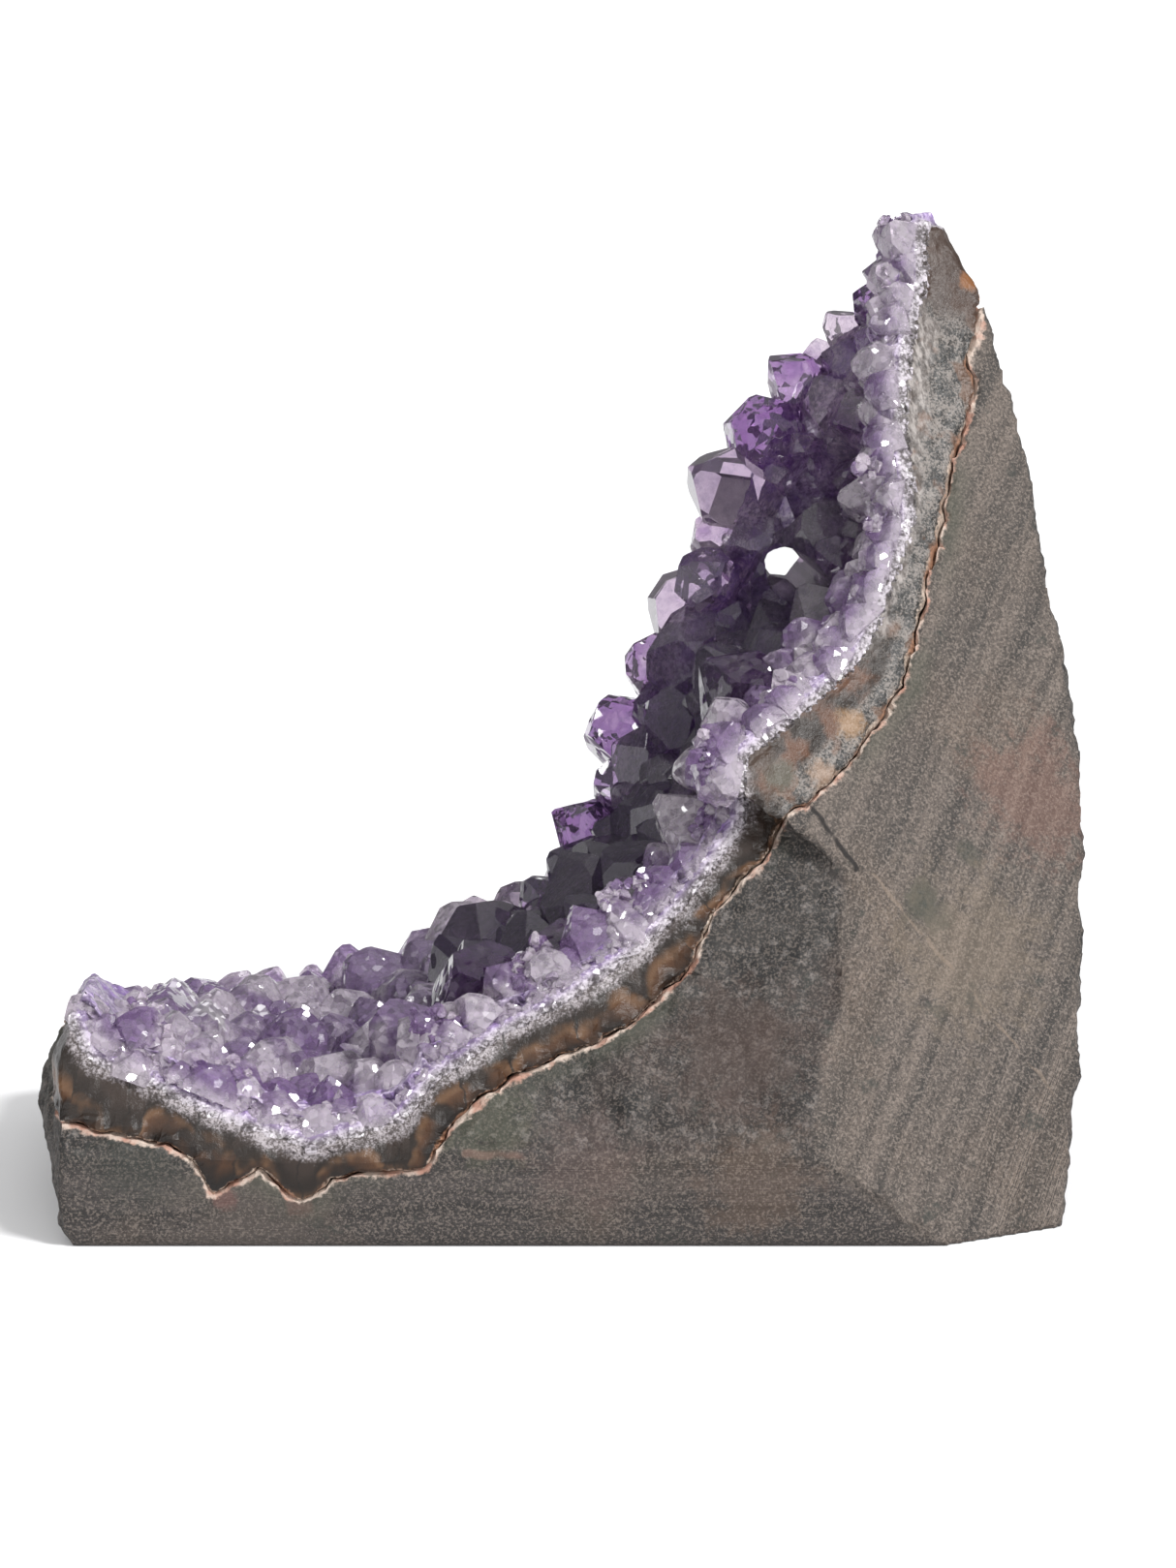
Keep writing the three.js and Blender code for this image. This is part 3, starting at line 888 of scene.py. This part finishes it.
# Shared effects
def effect(name, output, kind, **inputs):
    """A new node group with the kinds of its inputs. Returns it, its inputs as values, and its output."""
    group = bpy.data.node_groups.new(name, "ShaderNodeTree")
    group.interface.new_socket(output, in_out="OUTPUT", socket_type="NodeSocket" + kind)
    for socket, kind in inputs.items():
        group.interface.new_socket(socket, in_out="INPUT", socket_type="NodeSocket" + kind)
    given = values(group.nodes.new("NodeGroupInput").outputs)
    return group, given, group.nodes.new("NodeGroupOutput").inputs[0]


def use(tree, group, **inputs):
    return Value(add(tree, "Group", {"node_tree": group}, **inputs).outputs[0])


def stain_effect():
    """A mask that is 1 inside an uneven round patch."""
    group, inside, out = effect(
        "stain", "Mask", "Float", Centre="Vector", Radius="Float", Raggedness="Float"
    )
    place = object_place(group)
    ragged = noise_in(group, 4 * MM, 6, 0.8, place)
    share = vector(group, "DISTANCE", place, inside["Centre"]) / inside["Radius"]
    uneven = (ragged - 0.5) * (inside["Raggedness"] * 3)
    feed(out, 1 - step(share + uneven, 0.4, 1.15))
    return group


def seam_effect():
    """A mask along a thin uneven line between two points."""
    group, inside, out = effect("seam", "Mask", "Float", Start="Vector", End="Vector", Width="Float")
    place = object_place(group)
    wavy = add(group, "TexNoise", Vector=place, Scale=1 / (5 * MM), Detail=3.0).outputs["Color"]
    centred = vector(group, "SUBTRACT", wavy, (0.5, 0.5, 0.5))
    moved = vector(group, "ADD", place, scaled(group, centred, 2.4 * MM))
    whole = vector(group, "SUBTRACT", inside["End"], inside["Start"])
    part = vector(group, "SUBTRACT", moved, inside["Start"])
    share = vector(group, "DOT_PRODUCT", part, whole) / vector(group, "DOT_PRODUCT", whole, whole)
    within = add(group, "Clamp", Value=share).outputs[0]
    relative = vector(group, "DISTANCE", part, scaled(group, whole, within)) / inside["Width"]
    feed(out, 1 - step(relative, 0.5, 1.3))
    return group


def facet_effect():
    """Height of small flat facets, each tilted its own way."""
    group, inside, out = effect("broken facets", "Height", "Float", Size="Float", Tilt="Float")
    place = object_place(group)
    cells = add(group, "TexVoronoi", Vector=place, Scale=1 / inside["Size"]).outputs
    offset = vector(group, "SUBTRACT", place, cells["Position"])
    lean = vector(group, "SUBTRACT", cells["Color"], (0.5, 0.5, 0.5))
    slope = vector(group, "DOT_PRODUCT", offset, lean)
    feed(out, slope * (inside["Tilt"] * 2))
    return group


def sugar_effect():
    """Salt-and-pepper grains of massive quartz."""
    group, inside, out = effect("sugar grains", "Color", "Color", Size="Float", Dark="Color", Light="Color")
    place = object_place(group)
    scale = 1 / inside["Size"]
    grains = add(group, "TexNoise", Vector=place, Scale=scale, Detail=2.5, Roughness=0.75).outputs["Fac"]
    clumps = noise_in(group, 2.6 * MM, 2, 0.5, place)
    value = grains + (clumps - 0.5) * 0.6
    feed(out, blend(step(value, 0.38, 0.64), inside["Dark"], inside["Light"]))
    return group


STAIN = stain_effect()
SEAM = seam_effect()
FACETS = facet_effect()
SUGAR = sugar_effect()


def stained(tree, base, tone, strength, centre, radius, ragged):
    mask = use(tree, STAIN, Centre=[v * MM for v in centre], Radius=radius * MM, Raggedness=ragged)
    return blend(mask * strength, base, tone)


def seamed(tree, base, tone, strength, start, end, width):
    mask = use(tree, SEAM, Start=[v * MM for v in start], End=[v * MM for v in end], Width=width * MM)
    return blend(mask * strength, base, tone)


def finish(output, shader, height, strength=1.0, distance=1.0):
    """Gives a shader its relief and joins it to the material's output."""
    bump = add(output.id_data, "Bump", Height=height, Strength=strength, Distance=distance)
    feed(shader.inputs["Normal"], bump.outputs[0])
    feed(output.inputs["Surface"], shader.outputs[0])


# Materials
def basalt_material():
    made, tree, output = material("sawn basalt")
    grain = noise_in(tree, 0.42 * MM, 3, 0.7)
    pepper = noise_in(tree, 1.0 * MM, 3, 0.7)
    lumps = noise_in(tree, 5 * MM, 4, 0.62)
    wide = noise_in(tree, 26 * MM, 3, 0.5)
    side, sawn = attribute(tree, "side_face"), attribute(tree, "sawn")
    across, rind = attribute(tree, "across"), attribute(tree, "from_agate")
    bands = line_noise(tree, across + (wide * 5 + lumps * 1.5), 19, 7)
    marks = line_noise(tree, across + lumps * 0.8, 0.95, 1)
    spread = values(add(tree, "SeparateXYZ", Vector=place_in(tree)).outputs)
    low_right = step(spread["X"], 0.05, 0.07) * (1 - step(spread["Z"], 0.02, 0.07))
    kept_marks = step(wide, 0.4, 0.6) * 0.45 + low_right * 0.8

    # painted shade: sawn faces other than the right side face get a darker copy of the same banded tone, the
    # side face the lit one
    lit_side_tone = blend(step(bands, 0.3, 0.7), (50, 46, 43), (97, 87, 80))
    shaded_front_tone = blend(step(bands, 0.3, 0.7), (36, 33, 32), (70, 64, 62))
    flat = blend(side, shaded_front_tone, lit_side_tone)
    flat = blend(step(wide, 0.48, 0.7) * 0.4, flat, (104, 88, 75))
    flat = blend(step(marks, 0.46, 0.66) * kept_marks * 0.75, flat, (34, 31, 29))
    torn = blend(step(lumps, 0.4, 0.58), (15, 14, 14), (48, 45, 43))
    flecks = noise_in(tree, 1.7 * MM, 4, 0.75, place_in(tree, turned=(0.3, 0.5, 0.9)))
    torn = blend(step(flecks, 0.54, 0.62) * 0.55, torn, (116, 110, 107))
    torn = blend(step(wide, 0.5, 0.64) * 0.45, torn, (66, 50, 44))
    base = blend(sawn, torn, flat)
    base = blend(step(grain, 0.48, 0.57) * 0.5, base, (28, 26, 25))
    base = blend(step(pepper, 0.5, 0.62) * 0.35, base, (30, 28, 26))
    light = noise_in(tree, 0.42 * MM, 3, 0.7, place_in(tree, turned=(0.4, 0.9, 0.2)))
    pale_share = sawn * 0.12 + 0.26
    base = blend(step(light, 0.5, 0.59) * pale_share, base, (142, 130, 121))
    spots = noise_in(tree, 5.5 * MM, 3, 0.6, place_in(tree, turned=(0.8, 0.2, 0.5)))
    spot_mask = step(spots, 0.62, 0.7) * step(pepper, 0.4, 0.52)
    base = blend(spot_mask * 0.65, base, (40, 43, 39))

    for centre, radius, tone, strength in (
        ((54.5, -21.2, 45.7), 4.2, (36, 44, 38), 0.8),
        ((52.3, -3.1, 80.3), 2.0, (38, 44, 38), 0.6),
        ((61.5, -14.0, 52.3), 2.4, (38, 44, 38), 0.6),
        ((72.7, -4.5, 59.4), 12, (112, 76, 64), 0.34),
        ((62.0, -24.0, 40.0), 15, (118, 104, 88), 0.3),
        ((28.2, -46.9, 10.3), 9.5, (104, 82, 66), 0.26),
        ((2.6, -47.2, 13.4), 9, (100, 80, 76), 0.24),
        ((-50.3, -46.7, 7.6), 2.4, (112, 58, 54), 0.4),
        ((-39.1, -46.7, 6.6), 2.4, (112, 58, 54), 0.4),
        ((-12.4, -43.6, 19.7), 9, (72, 74, 58), 0.4),
        ((25.5, -37.9, 28.4), 13, (66, 50, 44), 0.45),
        ((-62.0, -47.2, 14.0), 9, (46, 50, 44), 0.4),
        ((-45.0, -47.2, 3.0), 14, (92, 82, 75), 0.3),
    ):
        base = stained(tree, base, tone, strength, centre, radius, 1.0)
    base = seamed(tree, base, (128, 112, 98), 0.4, (46.3, -22.2, 51.2), (74.2, -26.8, 17.8), 0.35)
    base = seamed(tree, base, (20, 13, 11), 1.0, (35.5, -21.0, 62.8), (44.0, -22.8, 52.1), 0.5)
    # painted shade: a dark line in the groove where the rough face meets the front sawn face
    base = seamed(tree, base, (30, 26, 24), 1.0, (-14.4, -47.5, 16.6), (33.8, -47.7, 17.9), 0.7)
    # partly the ledge's own reddish colour, partly painted light: a pale line along the front face's top
    # edge, just under the painted shade of the groove
    base = seamed(tree, base, (112, 86, 76), 0.5, (-14.4, -47.5, 14.6), (30.8, -47.7, 15.4), 0.7)

    edge = rind + (pepper - 0.5) * 1.6
    green = (1 - step(edge, 1.5, 5)) * step(wide, 0.4, 0.6)
    base = blend(green * 0.55, base, (60, 63, 52))
    rind_tone = blend(step(lumps, 0.42, 0.62), (186, 170, 158), (162, 122, 106))
    base = blend(1 - step(edge, 0.45, 1.05), base, rind_tone)

    shader = add(tree, "BsdfPrincipled", Base_Color=base, Roughness=grain * 0.3 + 0.62)
    finish(output, shader, grain * 0.25 + pepper * 0.35 + marks * sawn * 0.5, 0.6, 0.35 * MM)
    return made


def agate_material():
    made, tree, output = material("banded agate")
    from_rock, from_crust = attribute(tree, "from_rock"), attribute(tree, "from_crust")
    along, turn = attribute(tree, "along"), attribute(tree, "turn")
    sway = noise_in(tree, 6 * MM, 3, 0.55)
    pepper = noise_in(tree, 0.55 * MM, 3, 0.75)
    share = from_rock / (from_rock + from_crust + 0.2)
    place = along + sway * 5
    arches = values(add(tree, "TexVoronoi", {"voronoi_dimensions": "1D"}, W=place / 11.5, Scale=1.0).outputs)
    borders = {"voronoi_dimensions": "1D", "feature": "DISTANCE_TO_EDGE"}
    edges = values(add(tree, "TexVoronoi", borders, W=place / 11.5, Scale=1.0).outputs)
    bow = calc(tree, "MAXIMUM", 0.3 - arches["Distance"] * arches["Distance"], 0)
    size = Value(add(tree, "SeparateColor", Color=arches["Color"]).outputs[0])
    height = calc(tree, "SQRT", bow) * (size * 0.75 + 0.45)
    level = share - height + (sway - 0.5) * 0.5

    glow = step(noise_in(tree, 4.5 * MM, 2, 0.5), 0.36, 0.6)
    tan = blend(glow, (28, 19, 14), (72, 46, 27))
    base = blend(step(level, -0.5, -0.05), (20, 14, 11), tan)
    line = blend(glow, (34, 25, 19), (88, 63, 43))
    base = blend(step(level, -0.14, -0.02), base, line)
    base = blend(step(level, 0.0, 0.22), base, (28, 20, 15))
    base = blend(step(level, 0.22, 0.6), base, (46, 36, 31))
    sugar = use(tree, SUGAR, Size=0.4 * MM, Dark=colour(70, 63, 62), Light=colour(158, 151, 154))
    sugared = 1 - step(from_crust + (pepper + sway - 1.0) * 4.0, 0.5, 2.4)
    base = blend(sugared, base, sugar)
    crack = 1 - step(edges["Distance"], 0.006, 0.025)
    base = blend(crack * (glow * 0.8), base, (22, 17, 14))

    above = step(turn + sway * 6, -39, -36)
    streaks = noise_in(tree, 0.9 * MM, 3, 0.6, place_in(tree, scale=(1, 1, 0.14)))
    salt = use(tree, SUGAR, Size=0.42 * MM, Dark=colour(26, 26, 25), Light=colour(116, 109, 104))
    white = blend(step(streaks, 0.4, 0.62), (74, 66, 62), (150, 143, 139))
    inner = step(share + sway * 0.9, 1.0, 1.2)
    upper = blend(inner * 0.8, salt, white)
    upper = blend(step(sway, 0.54, 0.62) * 0.6, upper, (92, 64, 46))
    bend = step(turn + sway * 8, -25, -18)
    wedge = step(share, 0.36, 0.5) * (1 - bend)
    wedge_tone = blend(step(sway, 0.44, 0.6), (30, 21, 15), (80, 50, 32))
    upper = blend(wedge * 0.9, upper, wedge_tone)
    peak = step(turn + sway * 5, 1, 5)
    upper = blend(peak * 0.85, upper, (46, 26, 14))
    base = blend(above, base, upper)
    for centre, radius, tone, strength in (
        ((43.7, -12.2, 71.5), 3.0, (150, 118, 86), 0.6),
        ((38.6, -17.7, 65.0), 3.2, (144, 118, 98), 0.6),
        ((32.4, -21.1, 65.9), 3.0, (70, 70, 60), 0.8),
        ((28.7, -20.5, 70.2), 4.5, (58, 42, 32), 0.85),
        ((38.0, -13.0, 76.0), 3.0, (72, 48, 36), 0.75),
        ((64.0, 33.0, 134.7), 2.0, (120, 74, 32), 0.8),
        ((-16.5, -47.5, 15.6), 2.2, (150, 98, 34), 0.85),
        ((-5.0, -46.0, 30.0), 2.4, (132, 88, 40), 0.6),
    ):
        base = stained(tree, base, tone, strength, centre, radius, 0.8)
    rind_edge = from_rock + (pepper - 0.5) * 1.0
    rind_tone = blend(step(sway, 0.42, 0.6), (184, 168, 154), (150, 112, 90))
    base = blend(1 - step(rind_edge, 0.2, 0.6), base, rind_tone)
    polish = pepper * 0.35 + 0.2
    shader = add(tree, "BsdfPrincipled", Base_Color=base, Roughness=polish, IOR=1.54, Specular_IOR_Level=0.28)
    finish(output, shader, pepper + sway, 0.4, 0.3 * MM)
    return made


def milky_material():
    made, tree, output = material("milky quartz")
    reach, depth = attribute(tree, "from_agate"), attribute(tree, "depth")
    patches = noise_in(tree, 8 * MM, 3, 0.6)
    near = use(tree, SUGAR, Size=0.6 * MM, Dark=colour(84, 78, 80), Light=colour(186, 179, 186))
    far = use(tree, SUGAR, Size=0.8 * MM, Dark=colour(126, 110, 142), Light=colour(196, 184, 204))
    base = blend(step(reach, 0.8, 2.2), near, far)
    purple = step(patches, 0.5, 0.66) * step(reach, 1.2, 3)
    base = blend(purple * 0.75, base, (138, 104, 176))
    # painted shade: the milky quartz darker towards the hollow's deep wall
    base = blend(depth * 0.8, base, (60, 52, 74))
    shader = add(tree, "BsdfPrincipled", Base_Color=base, Roughness=0.3, IOR=1.544)
    finish(output, shader, use(tree, FACETS, Size=0.9 * MM, Tilt=0.55))
    return made


def quartz_material(name, pale, purple, dark, most, polish, clear, chip, absorbed, density, tilt=None):
    """Clear quartz: pale at the root, purple in patches, darker deep in the hollow as painted shade, with
    small chips.
    """
    made, tree, output = material(name)
    reach, depth, tint = attribute(tree, "from_agate"), attribute(tree, "depth"), attribute(tree, "tint")
    patches = noise_in(tree, 8 * MM, 3, 0.6)
    share = step(patches * 0.7 + tint * 0.3, 0.42, 0.58) * most
    base = blend(share * step(reach, 2, 5), pale, purple)
    clouds = step(noise_in(tree, 2.0 * MM, 4, 0.7), 0.46, 0.62)
    base = blend(clouds * 0.4, base, dark)
    # painted shade: the dark tone laid over the crystals towards the hollow's deep wall
    base = blend(depth * 0.62, base, dark)
    shader = add(
        tree, "BsdfPrincipled", Base_Color=base, Roughness=polish, IOR=1.544, Transmission_Weight=clear
    )
    if tilt is None:  # smoother faces deep in the hollow, and on some crystals everywhere
        tilt = (0.05 + (1 - depth) * 0.33) * step(tint, 0.1, 0.8)
    finish(output, shader, use(tree, FACETS, Size=chip, Tilt=tilt))
    volume = add(tree, "VolumeAbsorption", Color=absorbed, Density=density)
    feed(output.inputs["Volume"], volume.outputs[0])
    return made


def amethyst_material():
    return quartz_material(
        "clear amethyst", (222, 210, 221), (140, 92, 162), (126, 118, 146), most=0.9,
        polish=0.04, clear=0.93, chip=1.7 * MM, absorbed=(0.59, 0.4, 0.63, 1), density=58.0,
    )


def rim_material():
    return quartz_material(
        "chipped rim quartz", (240, 229, 240), (136, 96, 162), (150, 140, 158), most=0.85,
        polish=0.12, clear=0.7, chip=1.1 * MM, tilt=0.45, absorbed=(0.66, 0.5, 0.76, 1), density=26.0,
    )


# Studio
def aim(obj, height, turn=0):
    """Makes a camera or light look down from height degrees up. Returns the direction back to it."""
    h, a = math.radians(height), math.radians(turn)
    towards = Vector((math.cos(h) * math.sin(a), -math.cos(h) * math.cos(a), math.sin(h)))
    obj.rotation_euler = (-towards).to_track_quat("-Z", "Y").to_euler()
    return towards


def build_studio():
    scene = bpy.context.scene
    camera = bpy.data.objects.new("camera", bpy.data.cameras.new("camera"))
    scene.collection.objects.link(camera)
    camera.data.lens = LENS
    camera.data.sensor_width = SENSOR
    camera.data.clip_end = 20
    camera.location = TARGET + aim(camera, ELEVATION) * DISTANCE
    scene.camera = camera

    deselect()
    bpy.ops.mesh.primitive_plane_add(size=80, location=(0, 0, -0.0002))
    floor = bpy.context.object
    floor.name = "floor"
    bpy.ops.object.transform_apply(location=True)
    made, tree, output = material("white floor")
    shader = add(tree, "BsdfPrincipled", Base_Color=(0.86, 0.86, 0.87, 1), Roughness=0.8)
    feed(output.inputs["Surface"], shader.outputs[0])
    floor.data.materials.append(made)

    world = bpy.data.worlds.new("studio")
    world.use_nodes = True
    scene.world = world
    tree = world.node_tree
    tree.nodes.clear()
    output = tree.nodes.new("ShaderNodeOutputWorld")
    direction = tree.nodes.new("ShaderNodeTexCoord").outputs["Generated"]
    facing = vector(tree, "DOT_PRODUCT", direction, Vector((0.45, -0.5, 0.74)).normalized())
    soft_box = step(facing, -0.1, 0.9)
    seen = Value(tree.nodes.new("ShaderNodeLightPath").outputs["Is Camera Ray"])
    strength = calc(tree, "MAXIMUM", seen * 1.1, soft_box * 0.75 + 0.22)
    feed(output.inputs["Surface"], add(tree, "Background", Color=(1, 1, 1, 1), Strength=strength).outputs[0])

    for name, height, turn, width, power in LIGHTS:
        light = bpy.data.objects.new(name, bpy.data.lights.new(name, "SUN"))
        scene.collection.objects.link(light)
        light.data.energy = power
        light.data.angle = math.radians(width)
        aim(light, height, turn)

    scene.view_settings.view_transform = "Standard"
    scene.cycles.use_denoising = True
    scene.cycles.max_bounces = 16
    scene.cycles.transmission_bounces = 14
    scene.cycles.sample_clamp_indirect = 8


build_studio()
basalt = build_basalt()
agate = build_agate()
bed = build_bed()
points_piece, rim_piece = build_crystals(plant_crystals(bed) + plant_rim())

for piece, node, slot, finish in (
    (basalt, "basalt_matrix", "basalt", basalt_material()),
    (agate, "agate_lining", "agate", agate_material()),
    (bed, "amethyst_crust", "amethyst", milky_material()),
    (points_piece, "amethyst_crust", "amethyst", amethyst_material()),
    (rim_piece, "amethyst_crust", "amethyst", rim_material()),
):
    piece.data.materials.clear()
    piece.data.materials.append(finish)
    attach(piece, "root")
    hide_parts(node)
